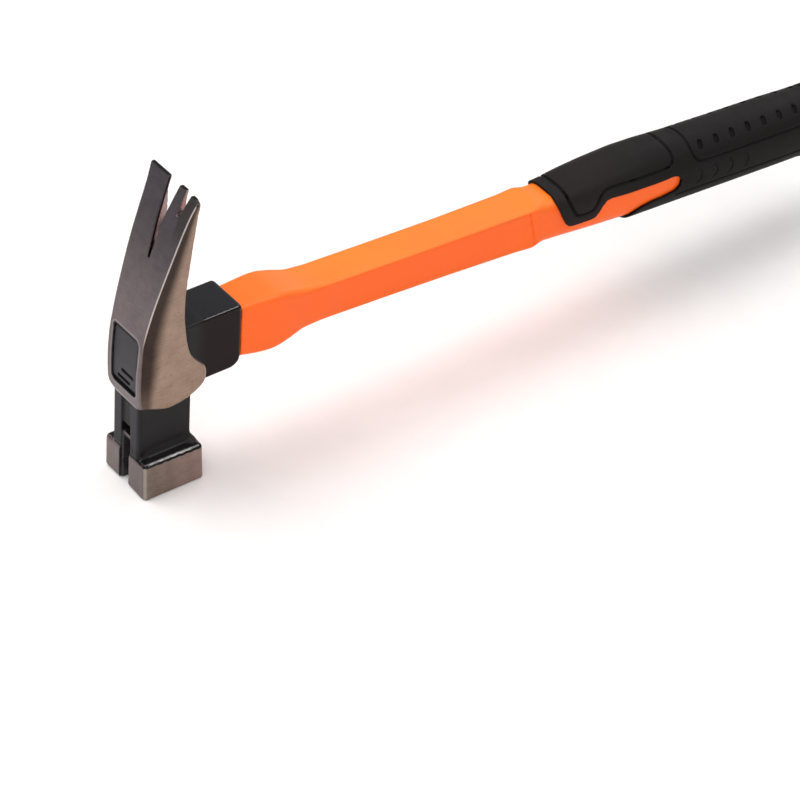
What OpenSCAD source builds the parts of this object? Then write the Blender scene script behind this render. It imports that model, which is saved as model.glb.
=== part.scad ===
// Claw hammer with a square striking face, a nail-starting groove, a three-pronged
// claw and a moulded handle on a pultruded core.
// Frame: origin at the centre of the striking face, +X along the handle towards the
// butt, +Z up the head towards the claw tips, Y across the cheeks. The striking face
// looks down (-Z). The head's top side looks along -X. Most shapes are drawn about the
// eye centre and lifted by face_drop.

/* [Striking face] */
// Side of the square striking face
face_w = 27; // [24:0.1:28]
// Side of the face block where it meets the shoulder
face_top_w = 26.2; // [24:0.1:26.6]
// Height of the square face block
face_h = 15.3; // [13:0.1:17]
// Distance from the eye centre down to the striking face
face_drop = 58.5; // [55:0.5:66]
// Radius of the block's upright corners
face_corner_r = 1.5; // [0.8:0.1:3]
// Bevel around the striking face
face_bevel = 1; // [0.3:0.1:1.5]

/* [Neck] */
// Position of the neck's top side, along the handle direction
neck_x0 = -12.7; // [-13:0.1:-11.5]
// Position of the neck's handle side
neck_x1 = 10.6; // [8:0.1:12]
// Width of the neck across the cheeks
neck_w = 17; // [15:0.1:18]
// Bevel of the neck's upright edges
neck_bevel = 1.5; // [0.6:0.1:3]
// Height of the shoulder between neck and face block
shoulder_h = 4.2; // [2.5:0.1:6]

/* [Nail starter] */
// Width of the nail groove
groove_w = 5.7; // [5.2:0.1:7]
// Distance of the groove's centre from the middle of the head
groove_y = 0.6; // [0:0.1:1.5]
// Depth of the groove through the face block
groove_d = 5; // [3.5:0.1:6.5]
// Depth of the shallow groove up the neck
groove_neck_d = 0.8; // [0.5:0.1:2.5]
// Height of the pocket for the nail's head
nail_pocket_h = 4.6; // [3:0.1:6]
// Height of the pocket's centre above the striking face
nail_pocket_z = 24.7; // [24:0.1:29]
// Diameter of the magnet
magnet_d = 5; // [4:0.1:5.4]
// Thickness of the magnet
magnet_t = 3; // [2:0.1:4]

/* [Eye and cheeks] */
// Half width of the cheeks at their fullest
cheek_half_w = 11.3; // [10.6:0.1:12]
// Width of the window in the head's top side
window_w = 15.2; // [14.4:0.1:16]
// Height of the window
window_h = 25.2; // [23:0.2:26]
// Corner radius of the window
window_r = 2; // [1:0.1:3]
// Depth of the window pocket
window_d = 5; // [4:0.1:6]
// How far the plug's face sits below the rim
plug_recess = 1.3; // [0.8:0.1:2]

/* [Socket block] */
// Position of the socket block's handle end
socket_x1 = 31.5; // [29:0.5:34]
// Width of the socket block
socket_w = 19.2; // [17.6:0.2:20]
// Height of the socket block's upper side above the eye centre
socket_z1 = 12.6; // [11.8:0.1:13.5]
// Depth of the socket block's lower side below the eye centre
socket_z0 = 15.6; // [14:0.1:16.5]
// Radius of the block's upper corner at the handle end
socket_r = 2.6; // [1.5:0.1:4]
// Radius of the block's lower corner at the handle end
socket_r0 = 5; // [2:0.1:5.5]
// Width of the eye bore
eye_w = 13.2; // [12.6:0.1:13.8]
// Height of the eye bore
eye_h = 20.6; // [19:0.2:21.4]

/* [Claw] */
// Height of the claw tips above the eye centre
claw_top = 72.4; // [66:0.2:76]
// Half width of the claw at its tips
claw_tip_half_w = 14.9; // [14:0.1:16.5]
// Thickness of the claw at its tips
claw_tip_t = 1.5; // [1.2:0.1:2.5]
// Height where the main nail slot starts, above the eye centre
slot_root_z = 42.9; // [38:0.1:48]
// Width of the main nail slot at the tips
slot_tip_w = 6.8; // [5:0.1:8]
// Height where the small nail slot starts
slot2_root_z = 63.2; // [60:0.1:65]
// Width of the small nail slot at the tips
slot2_tip_w = 3.3; // [2:0.1:4]

/* [Handle] */
// Angle between the handle and the striking face
handle_rake = 3.2; // [1.5:0.1:4]
// Length from the eye centre to the butt
handle_len = 336; // [330:1:345]
// Half width of the handle's bar
bar_half_w = 8.1; // [8:0.1:9.4]
// Half height of the handle's bar next to the collar
bar_half_h = 8.3; // [8.2:0.1:9.4]
// Half height of the bar where it enters the grip
bar_end_half_h = 9.6; // [9.2:0.1:10.2]
// Width of the glass-fibre core
core_w = 11; // [10:0.2:11.6]
// Height of the glass-fibre core
core_h = 13; // [12:0.2:13.6]
// Gap left for bonding between nested pieces
bond_gap = 0.05; // [0.02:0.01:0.1]

/* [Grip] */
// Distance from the eye centre to the front of the grip
grip_x0 = 181; // [178:0.5:184]
// Half width of the grip behind the front swell
grip_half_w = 12.6; // [12.2:0.1:13.2]
// Half height of the grip behind the front swell
grip_half_h = 14.3; // [13.8:0.1:15]
// How far the butt's underside flares below the grip
butt_flare = 4.6; // [3.5:0.1:5.5]
// Radius of the hole for hanging the hammer up
hang_r = 3.5; // [3:0.1:4]
// Distance of the hanging hole from the butt
hang_back = 9.5; // [8.5:0.1:11]

/* [Hidden] */
$fn = 48;

steel = "#8b817c";
magnet_grey = "#3c3a38";
black_paint = "#26262a";
resin_brown = "#3a3226";
glass_cream = "#d9cf9a";
orange = "#ff7b35";
rubber = "#2f2c2a";

face_z = -face_drop;                   // striking face, from the eye centre
rim_x = -14.4;                         // window's rim on the top side
window_z = -0.6;                       // window's centre
eye_r = 2;                             // corner radius of the eye bore
core_r = 3;                            // corner radius of the core
handle_lift = 0.6;                     // handle axis above the eye centre
groove_floor = neck_x0 + groove_d - 1; // floor of the nail groove, along X
magnet_z = 8;                          // magnet's centre above the striking face
magnet_bevel = 0.3;
collar_x = socket_x1 + 0.85;           // start of the handle's collar
panel_depth = 0.25;                    // how deep the side panels are let into the bar
hang_z = -1.2;                         // hanging hole's centre in the handle's frame
loft_sides = 28;                       // points around each lofted section

function bezier(p, t) =
  pow(1 - t, 3) * p[0] + 3 * pow(1 - t, 2) * t * p[1] + 3 * (1 - t) * t * t * p[2] + t * t * t * p[3];
function curve(points, steps) = [for (i = [0:steps]) bezier(points, i / steps)];
function reversed(list) = [for (i = [len(list) - 1:-1:0]) list[i]];
function signed_pow(base, exponent) = sign(base) * pow(abs(base), exponent);

// Side view of the head (x, z): top side from below the window to above it
cheek_top_edge = concat(
  [[neck_x0, -19.5]],
  curve([[-14.1, -17], [-14.6, -9], [-14.55, 0], [-13.3, 11.5]], 6));
// its continuation up to the claw tip
claw_top_edge = [for (i = [1:9])
  bezier([[-13.3, 11.5], [-10.6, 25.5], [-4.1, 47], [7.2 - claw_tip_t * 0.4, claw_top]], i / 9)];
// handle side of the claw, from the tip down to the socket block
claw_back_edge = curve([[7.4 + claw_tip_t * 0.5, claw_top], [6.6, 52], [3.9, 32], [5.4, 12]], 8);
// upper end of the cheeks, then down their handle side and back along their lower end
cheek_lower_edge = [
  [-13.2, 14], [5.4, 14], [6, 6.4], [7.6, 0.6], [10, -3], [14, -7], [15.7, -9.8], [16, -13.3],
  [14.6, -15.6], [11.4, -17.4], [7.8, -18.8], [3.4, -19.6], [-0.2, -20.2], [-3.6, -20.2],
  [-9, -19.9]];

// rounded rectangle, centred
module rounded_rect(w, h, r) {
  square([w - 2 * r, h], center = true);
  square([w, h - 2 * r], center = true);
  for (a = [-1, 1], b = [-1, 1]) translate([a * (w / 2 - r), b * (h / 2 - r)]) circle(r);
}
// extrude a (y, z) outline along X from x0 to x1
module along_x(x0, x1)
  translate([x0, 0, 0]) rotate([90, 0, 90]) linear_extrude(x1 - x0) children();
// extrude an (x, z) outline along Y, centred
module along_y(w)
  translate([0, w / 2, 0]) rotate([90, 0, 0]) linear_extrude(w) children();
// lift a shape drawn about the eye centre into the part's frame
module at_eye() translate([0, 0, face_drop]) children();
// move into the handle's own frame, raked about the Y axis
module raked() translate([0, 0, handle_lift]) rotate([0, handle_rake, 0]) children();

// square block with the striking face, tapered in both side views
module face_block() {
  half = face_w / 2;
  top_half = face_top_w / 2;
  top_z = face_z + face_h;
  profile = [
    [-half + face_bevel, face_z], [half - face_bevel, face_z], [half, face_z + face_bevel],
    [top_half, top_z], [-top_half, top_z], [-half, face_z + face_bevel]];
  intersection() {
    translate([0, 0, face_z]) linear_extrude(face_h) rounded_rect(face_w, face_w, face_corner_r);
    along_y(face_w + 2) polygon(profile);
    along_x(-half - 1, half + 1) polygon(profile);
  }
}

// sloping shoulder up to the neck
module shoulder() {
  z0 = face_z + face_h - 0.01;
  z1 = z0 + shoulder_h;
  base_half = face_top_w / 2 - 0.3;
  neck_half = neck_w / 2;
  intersection() {
    along_y(face_w)
      polygon([[-base_half, z0], [base_half, z0], [neck_x1, z1], [neck_x0, z1]]);
    along_x(-base_half - 1, base_half + 1)
      polygon([[-base_half, z0], [base_half, z0], [neck_half, z1], [-neck_half, z1]]);
  }
}

// upright neck, bevelled more on the top side than on the handle side
module neck() {
  z0 = face_z + face_h - 0.5;
  z1 = -8;
  half = neck_w / 2;
  back_bevel = 1.2;
  bevel_x = neck_x0 + neck_bevel * 0.7;
  translate([0, 0, z0]) linear_extrude(z1 - z0) polygon([
    [neck_x0, -half + neck_bevel], [bevel_x, -half],
    [neck_x1 - back_bevel, -half], [neck_x1, -half + back_bevel],
    [neck_x1, half - back_bevel], [neck_x1 - back_bevel, half],
    [bevel_x, half], [neck_x0, half - neck_bevel]]);
}

// cheeks around the eye: side outline bulged by two large cylinders
module cheeks() {
  bulge_r = 130;
  bulge_x = -1;
  intersection() {
    along_y(30) polygon(concat(cheek_top_edge, cheek_lower_edge));
    translate([bulge_x, bulge_r - cheek_half_w, -30]) cylinder(r = bulge_r, h = 60, $fn = 180);
    translate([bulge_x, -bulge_r + cheek_half_w, -30]) cylinder(r = bulge_r, h = 60, $fn = 180);
  }
}

// claw blade: side outline cut to its width; the tip corner is square at +Y, rounded at -Y
module claw() {
  tip = claw_tip_half_w;
  end_z = claw_top + 0.1;
  // half width and height up the blade
  edge = [[9.9, 6], [10.4, 13], [11.1, 26], [12, 40], [12.7, 52.6], [tip - 1.1, claw_top - 5.8]];
  round_tip = [[tip, claw_top - 1.6], [tip - 0.5, claw_top - 0.5], [tip - 1.6, end_z]];
  intersection() {
    along_y(40) polygon(concat(
      [for (i = [5:7]) cheek_top_edge[i]], claw_top_edge, claw_back_edge, [[5.6, 3], [-14, 3]]));
    along_x(-20, 20) polygon(concat(
      edge, [[tip, end_z]], [for (p = reversed(concat(edge, round_tip))) [-p[0], p[1]]]));
  }
}

// forged block that takes the handle
module socket_block() {
  x0 = -10;
  length = socket_x1 - x0;
  height = socket_z1 + socket_z0;
  intersection() {
    along_x(0, socket_x1)
      translate([0, (socket_z1 - socket_z0) / 2]) rounded_rect(socket_w, height, 1.4);
    translate([(socket_x1 + x0) / 2, 0, -20])
      linear_extrude(40) rounded_rect(length, socket_w, 1.6);
    // side outline, with its two corners at the handle end rounded
    along_y(30) {
      translate([x0, -socket_z0 + socket_r0]) square([length, height - socket_r0 - socket_r]);
      translate([x0, -socket_z0]) square([length - socket_r0, height / 2]);
      translate([x0, 0]) square([length - socket_r, socket_z1]);
      translate([socket_x1 - socket_r0, -socket_z0 + socket_r0]) circle(socket_r0);
      translate([socket_x1 - socket_r, socket_z1 - socket_r]) circle(socket_r);
    }
  }
}

// nail slot with a round root; root, middle and tip are each [centre y, z, width]
module nail_slot(root, middle, tip) {
  stations = [root, middle, tip];
  along_x(-20, 20) {
    polygon(concat(
      [for (s = stations) [s[0] + s[2] / 2, s[1]]],
      [for (s = reversed(stations)) [s[0] - s[2] / 2, s[1]]]));
    translate([root[0], root[1]]) circle(root[2] / 2);
  }
}

// box as wide as the nail groove
module groove_box(x0, x1, z0, height)
  translate([x0, groove_y - groove_w / 2, z0]) cube([x1 - x0, groove_w, height]);

// nail groove, the pocket for a nail's head and the magnet's seat
module nail_starter_cuts() {
  groove_box(neck_x0, groove_floor, face_z - 1, face_h + 6);
  groove_box(neck_x0 - 5, neck_x0 + 0.1, face_z - 1, face_h + 6);
  groove_box(neck_x0 - 5, neck_x0 + groove_neck_d, face_z, 39);
  groove_box(neck_x0 - 1, neck_x0 + groove_d, face_z + nail_pocket_z - nail_pocket_h / 2,
             nail_pocket_h);
  translate([groove_floor - 1, groove_y, face_z + magnet_z]) rotate([0, 90, 0])
    cylinder(d = magnet_d + 2 * bond_gap, h = magnet_t + 1);
}

module hammer_head() color(steel) at_eye() difference() {
  union() {
    face_block();
    shoulder();
    neck();
    cheeks();
    claw();
    socket_block();
  }
  // eye bore and window pocket
  raked() along_x(-12, socket_x1 + 6) rounded_rect(eye_w, eye_h, eye_r);
  translate([0, 0, window_z])
    along_x(-20, rim_x + window_d) rounded_rect(window_w, window_h, window_r);
  nail_starter_cuts();
  // main slot, then the small one towards -Y
  nail_slot(root = [-0.4, slot_root_z, 0.9], middle = [0.9, slot_root_z + 15, 3.2],
            tip = [0.2, claw_top + 1, slot_tip_w]);
  nail_slot(root = [-7.4, slot2_root_z, 0.9], middle = [-8, slot2_root_z + 4, 2],
            tip = [-8.9, claw_top + 1, slot2_tip_w]);
}

// disc magnet set in the floor of the nail groove, bevelled at its exposed rim
module nail_magnet() color(magnet_grey)
  translate([groove_floor, groove_y, magnet_z]) rotate([0, 90, 0]) difference() {
    cylinder(d = magnet_d, h = magnet_t - bond_gap);
    translate([0, 0, -0.01]) rotate_extrude() polygon([
      [magnet_d / 2 - magnet_bevel, 0], [magnet_d, 0],
      [magnet_d, 0.3 * magnet_d], [magnet_d / 2, magnet_bevel + 0.01]]);
  }

// moulded plug that closes the window, with a stepped lower end
module eye_plug() {
  x0 = rim_x + plug_recess;
  x1 = rim_x + window_d - bond_gap;
  color(black_paint) at_eye() difference() {
    translate([0, 0, window_z]) along_x(x0, x1)
      rounded_rect(window_w - 2 * bond_gap, window_h - 2 * bond_gap, window_r);
    translate([x0 - 1, -20, -30]) cube([2.2, 40, 30 - 11.4]);
    // two shallow bars sunk in the face, at [y, z]
    for (corner = [[-4.9, -6.5], [-2.4, -10.6]])
      translate([x0 - 1, corner[0], corner[1]]) cube([1.7, 7.8, 1.1]);
  }
}

// space taken by the core and its bonding gap
module core_bore(x0, x1)
  along_x(x0, x1) rounded_rect(core_w + 2 * bond_gap, core_h + 2 * bond_gap, core_r);

// resin that fills the eye around the core
module bonding_resin() color(resin_brown) at_eye() raked() difference() {
  along_x(-9.2, socket_x1 - 0.8)
    rounded_rect(eye_w - 2 * bond_gap, eye_h - 2 * bond_gap, eye_r - bond_gap);
  core_bore(-12, socket_x1 + 2);
}

// pultruded glass-fibre core
module fibreglass_core() color(glass_cream)
  at_eye() raked() along_x(-9, handle_len - 20) rounded_rect(core_w, core_h, core_r);

// Stations of both lofts: [x, centre height, half width, half height, roundness],
// where roundness 2 is an ellipse and higher values are squarer.
// Sheath: collar, bar, then the part under the grip
sheath_stations = [
  [socket_x1 - 2.5, -0.1, 8.4, 11.3, 5],
  [collar_x + 6, -0.4, 9, 12.3, 5],
  [collar_x + 12, -0.6, 9.7, 12.8, 4.8],
  [collar_x + 16, -0.6, 9.8, 12.7, 4.6],
  [collar_x + 22, -0.5, 9.5, 11.4, 4.5],
  [collar_x + 29, -0.4, 8.9, 9.6, 4.6],
  [collar_x + 38, -0.4, bar_half_w, bar_half_h, 5],
  [100, -0.4, bar_half_w, bar_half_h, 5],
  [132, -0.4, bar_half_w + 0.1, bar_half_h + 0.2, 5],
  [164, -0.3, bar_half_w + 0.3, bar_end_half_h - 0.3, 4.6],
  [grip_x0 - 2, -0.1, 9.3, bar_end_half_h + 0.5, 4],
  [grip_x0 + 8, 0.1, 9.8, bar_end_half_h + 1.2, 3.4],
  [grip_x0 + 20, 0.4, 10.5, 11.8, 3], [grip_x0 + 36, 0.6, 11.2, 12.7, 2.6],
  [grip_x0 + 52, 0.6, 11.3, 12.7, 2.5], [grip_x0 + 64, 0.6, 10.9, 12.3, 2.5],
  [grip_x0 + 76, 0.5, 9.4, 10.8, 2.5],
  [handle_len - 22, 0.4, 9.2, 10.4, 2.5], [handle_len - 16, 0.3, 8.2, 9.4, 2.5]];
// Grip: swell at the front, even section, flared and rounded butt
grip_stations = [
  [grip_x0 - 8, -0.1, 10.1, 10.7, 3.8], [grip_x0 + 2, 0.1, 10.5, 11.5, 3.4],
  [grip_x0 + 12, 0.7, 11.3, 12.7, 3], [grip_x0 + 24, 1, 12, 13.9, 2.7],
  [grip_x0 + 38, 1.2, 12.6, 14.7, 2.5],
  [grip_x0 + 50, 1.1, grip_half_w + 0.1, 14.7, 2.4],
  [grip_x0 + 64, 0.8, grip_half_w, grip_half_h + 0.1, 2.4],
  [grip_x0 + 90, 0.7, grip_half_w, grip_half_h, 2.4],
  [grip_x0 + 116, 0.6, grip_half_w - 0.1, grip_half_h - 0.1, 2.4],
  [handle_len - 26, 0.4, grip_half_w - 0.4, grip_half_h - 0.3, 2.4],
  [handle_len - 18, -0.3, grip_half_w - 0.4, grip_half_h + 0.5, 2.4],
  [handle_len - 11, -1.5, grip_half_w - 0.3, grip_half_h + butt_flare * 0.42, 2.5],
  [handle_len - 5, -2.2, grip_half_w - 0.4, grip_half_h + butt_flare * 0.56, 2.6],
  [handle_len - 1.5, -2.2, grip_half_w - 1.7, grip_half_h + butt_flare * 0.3, 2.6],
  [handle_len, -2.1, grip_half_w - 3.6, grip_half_h - 0.4, 2.5]];

function grown(stations, gap) = [for (s = stations) [s[0], s[1], s[2] + gap, s[3] + gap, s[4]]];

// closed solid through superellipse stations
module loft(stations) {
  n = loft_sides;
  last = len(stations) - 1;
  points = [for (s = stations) for (i = [0:n - 1]) let (angle = 360 * (i + 0.5) / n)
    [s[0], s[2] * signed_pow(cos(angle), 2 / s[4]), s[1] + s[3] * signed_pow(sin(angle), 2 / s[4])]];
  // each side quad, between points a and b of neighbouring rings, is two triangles
  polyhedron(points = points, convexity = 6, faces = concat(
    [[for (i = [0:n - 1]) i]],
    [for (k = [0:last - 1]) for (i = [0:n - 1])
      let (a = k * n + i, b = k * n + (i + 1) % n) [a, a + n, b + n]],
    [for (k = [0:last - 1]) for (i = [0:n - 1])
      let (a = k * n + i, b = k * n + (i + 1) % n) [a, b + n, b]],
    [[for (i = [n - 1:-1:0]) last * n + i]]));
}

module handle_sheath() color(orange) at_eye() raked() difference() {
  loft(sheath_stations);
  core_bore(0, handle_len);
  // square end that butts against the socket block
  rotate([0, -handle_rake, 0]) translate([0, -30, -30]) cube([socket_x1 + bond_gap, 60, 60]);
  // flat side panels let into the bar
  for (side = [-1, 1]) translate([0, side * (bar_half_w + 5 - panel_depth), 0]) along_y(10)
    polygon([[collar_x + 40, -6.4], [grip_x0 - 9.5, -7.2], [grip_x0 - 13, 6.6], [collar_x + 40, 6]]);
}

// (x, z) outline cut off the grip's front, leaving a tongue along its upper side
grip_cutaway = concat(
  [[grip_x0 - 1, 40], [grip_x0 - 1, 6], [grip_x0 + 2, 0], [grip_x0 + 6.5, -5.4],
   [grip_x0 + 20, -4.4], [grip_x0 + 24.5, 1.2], [grip_x0 + 28, 4.1]],
  curve([[grip_x0 + 36, 4.7], [grip_x0 + 60, 6.8], [grip_x0 + 67, 4.4], [grip_x0 + 59, 0.2]], 8),
  curve([[grip_x0 + 54, -2], [grip_x0 + 48, -4], [grip_x0 + 42, -6.5], [grip_x0 + 37, -18]], 6),
  [[grip_x0 - 20, -18], [grip_x0 - 20, 40]]);

module rubber_grip() color(rubber) at_eye() raked() difference() {
  loft(grip_stations);
  loft(grown(sheath_stations, bond_gap));
  along_y(60) polygon(grip_cutaway);
  translate([handle_len - hang_back, 0, hang_z]) rotate([90, 0, 0])
    cylinder(r = hang_r, h = 60, center = true);
}

hammer_head();
nail_magnet();
eye_plug();
bonding_resin();
fibreglass_core();
handle_sheath();
rubber_grip();
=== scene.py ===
"""Claw hammer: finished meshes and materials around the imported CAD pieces.

Shapes are distance fields in millimetres (negative inside), scaled to metres when meshed.
Head frame: the striking face lies at z = 0, the claw points towards +Z, its front faces -X
and the handle leaves towards +X. Most head fields measure z from the eye centre instead.
Handle frame: x runs from the eye to the butt, z is up on the claw's side, y is the head's y.
"""
import math
from types import SimpleNamespace

import bpy
import numpy as np
from mathutils import Matrix, Vector


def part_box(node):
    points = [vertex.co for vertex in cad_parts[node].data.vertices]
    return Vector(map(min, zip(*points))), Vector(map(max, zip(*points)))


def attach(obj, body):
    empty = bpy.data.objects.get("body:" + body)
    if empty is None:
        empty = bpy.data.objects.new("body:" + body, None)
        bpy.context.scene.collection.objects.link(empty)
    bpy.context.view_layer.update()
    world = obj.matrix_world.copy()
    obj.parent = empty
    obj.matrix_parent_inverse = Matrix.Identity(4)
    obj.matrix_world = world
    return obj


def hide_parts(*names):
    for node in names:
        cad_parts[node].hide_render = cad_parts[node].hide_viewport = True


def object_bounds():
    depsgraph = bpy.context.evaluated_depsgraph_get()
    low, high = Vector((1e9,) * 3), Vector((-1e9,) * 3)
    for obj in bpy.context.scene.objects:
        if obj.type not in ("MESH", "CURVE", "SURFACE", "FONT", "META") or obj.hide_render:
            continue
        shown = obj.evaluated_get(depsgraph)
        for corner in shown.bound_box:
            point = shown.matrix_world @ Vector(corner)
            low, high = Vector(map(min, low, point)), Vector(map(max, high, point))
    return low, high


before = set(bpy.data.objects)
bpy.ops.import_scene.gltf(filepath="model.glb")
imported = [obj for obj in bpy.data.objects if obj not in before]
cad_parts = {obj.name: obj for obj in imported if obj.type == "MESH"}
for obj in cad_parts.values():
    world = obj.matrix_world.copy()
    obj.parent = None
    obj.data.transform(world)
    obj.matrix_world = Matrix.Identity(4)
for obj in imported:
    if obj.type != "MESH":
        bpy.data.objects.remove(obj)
cad_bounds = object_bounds()
COARSEN = 1.0    # factor on every meshing step

# ---------------------------------------------------------------- driving dimensions
EYE = 58.5                       # eye centre above the striking face
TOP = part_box("hammer_head")[1].z * 1000.0 - EYE   # claw tips above the eye centre
RAKE = math.radians(3.2)         # handle against the striking face
COS_RAKE, SIN_RAKE = math.cos(RAKE), math.sin(RAKE)
AXIS_RISE = 0.6                  # handle axis above the eye centre
HANDLE_LENGTH = 336.0            # eye centre to butt, along the handle
SOCKET_END = 32.0                # x of the socket block's end, head frame
SHEATH_END = 320.0               # x of the sheath's rear end, handle frame
SKIN = 1.3                       # thickness of the rubber over the sheath
GROOVE_Y = 0.6                   # the nail groove sits a little towards +Y
MAGNET_Z = 8.0                   # magnet centre above the striking face


# ---------------------------------------------------------------- distance-field tools
def meet(a, b, radius):
    """Intersection with a rounded edge."""
    over_a = np.maximum(a + radius, 0.0)
    over_b = np.maximum(b + radius, 0.0)
    return np.minimum(np.maximum(a, b), -radius) + np.sqrt(over_a * over_a + over_b * over_b)


def carve(solid, hole, radius):
    """The solid without the hole, with a rounded rim."""
    return meet(solid, -hole, radius)


def join(a, b, radius):
    """Union with a filleted inner corner."""
    under_a = np.maximum(radius - a, 0.0)
    under_b = np.maximum(radius - b, 0.0)
    return np.maximum(np.minimum(a, b), radius) - np.sqrt(under_a * under_a + under_b * under_b)


def smoothstep(start, end, x):
    share = np.clip((x - start) / (end - start), 0.0, 1.0)
    return share * share * (3 - 2 * share)


def rounded_box(x, y, half_x, half_y, radius):
    """Rectangle with rounded corners."""
    over_x = np.abs(x) - (half_x - radius)
    over_y = np.abs(y) - (half_y - radius)
    outside = np.sqrt(np.maximum(over_x, 0) ** 2 + np.maximum(over_y, 0) ** 2)
    return outside + np.minimum(np.maximum(over_x, over_y), 0) - radius


def polygon_distance(x, y, outline):
    """Signed distance to a closed polygon."""
    outline = np.asarray(outline, float)
    shape = np.broadcast(x, y).shape
    nearest = np.full(shape, 1e9)
    sign = np.ones(shape)
    for start, end in zip(outline, np.roll(outline, 1, axis=0)):
        edge_x, edge_y = end - start
        from_x, from_y = x - start[0], y - start[1]
        share = (from_x * edge_x + from_y * edge_y) / (edge_x * edge_x + edge_y * edge_y + 1e-12)
        share = np.clip(share, 0, 1)
        nearest = np.minimum(
            nearest, (from_x - edge_x * share) ** 2 + (from_y - edge_y * share) ** 2)
        above = y >= start[1]
        below = y < end[1]
        turn = edge_x * from_y > edge_y * from_x
        flips = (above & below & turn) | (~above & ~below & ~turn)
        sign = np.where(flips, -sign, sign)
    return sign * np.sqrt(nearest)


def path_distance(x, y, z, path):
    """Distance to a line through points in space."""
    nearest = np.full(np.broadcast(x, y, z).shape, 1e9)
    for start, end in zip(path[:-1], path[1:]):
        edge = end - start
        offset = x - start[0], y - start[1], z - start[2]
        share = sum(offset[i] * edge[i] for i in range(3)) / (edge @ edge + 1e-12)
        share = np.clip(share, 0, 1)
        nearest = np.minimum(nearest, sum((offset[i] - edge[i] * share) ** 2 for i in range(3)))
    return np.sqrt(nearest)


def bezier(control):
    """41 points along a cubic curve."""
    start, leave, arrive, end = np.asarray(control, float)
    t = np.linspace(0, 1, 41)[:, None]
    return ((1 - t) ** 3 * start + 3 * (1 - t) ** 2 * t * leave
            + 3 * (1 - t) * t * t * arrive + t ** 3 * end)


def cut_corners(points, rounds=2):
    """Chaikin smoothing that keeps both end points."""
    points = np.asarray(points, float)
    for _ in range(rounds):
        finer = [points[0]]
        for a, b in zip(points[:-1], points[1:]):
            finer += [a * .75 + b * .25, a * .25 + b * .75]
        points = np.array(finer + [points[-1]])
    return points


def smooth_columns(stations, low, high, width):
    """Smoothed functions of a table's first column, one for each other column."""
    spacing = 0.25
    stations = np.asarray(stations, float)
    grid = np.arange(low, high, spacing)
    count = int(width / spacing) | 1
    weights = np.hanning(count + 2)[1:-1]
    weights /= weights.sum()

    def smooth(column):
        values = np.interp(grid, stations[:, 0], column)
        values = np.convolve(np.pad(values, count // 2, mode="edge"), weights, mode="valid")
        return lambda x: np.interp(x, grid, values)
    return [smooth(column) for column in stations.T[1:]]


def gradient(field, points, reach):
    """Field values at the points, and the field's slopes by central differences."""
    slopes = [field(*(points + shift).T) - field(*(points - shift).T)
              for shift in reach * np.eye(3)]
    return field(*points.T), np.stack(slopes, 1) / (2 * reach)


# ---------------------------------------------------------------- meshing
def surface_net(field, low, high, step):
    """Surface nets on a grid, then every point is pulled onto the true surface."""
    step = np.broadcast_to(step, 3) * COARSEN
    low = np.asarray(low, float) - 2.03 * step
    high = np.asarray(high, float) + 2.03 * step
    count = np.ceil((high - low) / step).astype(int) + 1
    axes = [low[i] + step[i] * np.arange(count[i]) for i in range(3)]
    values = np.asarray(field(*np.ix_(*axes)), np.float32)
    values[np.abs(values) < 1e-6] = 1e-6
    inside = values < 0

    # cells that the surface passes through
    corners = np.zeros(tuple(count - 1), np.int8)
    for i, j, k in np.ndindex(2, 2, 2):
        corners += inside[i:count[0] - 1 + i, j:count[1] - 1 + j, k:count[2] - 1 + k]
    active = (corners > 0) & (corners < 8)
    cells = np.argwhere(active)
    index = np.full(active.shape, -1, np.int64)
    index[active] = np.arange(len(cells))

    # each cell's point is the mean of the crossings on its twelve edges
    total = np.zeros((len(cells), 3))
    hits = np.zeros(len(cells))
    for axis in range(3):
        others = [i for i in range(3) if i != axis]
        for corner in np.ndindex(2, 2):
            offset = np.zeros(3, int)
            offset[others] = corner
            near = values[tuple((cells + offset).T)]
            point = offset + np.zeros((len(cells), 3))
            offset[axis] += 1
            far = values[tuple((cells + offset).T)]
            crosses = (near < 0) != (far < 0)
            point[:, axis] += np.where(crosses, near / np.where(crosses, near - far, 1), 0)
            total[crosses] += point[crosses]
            hits[crosses] += 1
    start = low + (cells + total / hits[:, None]) * step

    # one quad around every grid edge that changes sign
    quads = []
    for axis in range(3):
        around = [(axis + 1) % 3, (axis + 2) % 3]
        near = [slice(1, count[i] - 1) for i in range(3)]
        far = list(near)
        near[axis] = slice(0, count[axis] - 1)
        far[axis] = slice(1, count[axis])
        near, far = inside[tuple(near)], inside[tuple(far)]
        base = np.argwhere(near != far)
        base[:, around] += 1
        quad = []
        for shift in ((-1, -1), (0, -1), (0, 0), (-1, 0)):
            cell = base.copy()
            cell[:, around] += shift
            quad.append(index[tuple(cell.T)])
        quad = np.stack(quad, 1)
        turned = ~near[near != far]
        quad[turned] = quad[turned][:, ::-1]
        quads.append(quad)

    points = start
    for _ in range(4):
        distance, slope = gradient(field, points, 0.03)
        move = distance / np.maximum((slope * slope).sum(1), 0.25)
        points = points - np.clip(move, -0.4, 0.4)[:, None] * slope
        points = start + np.clip(points - start, -1.1 * step, 1.1 * step)
    return points, np.concatenate(quads)


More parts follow.
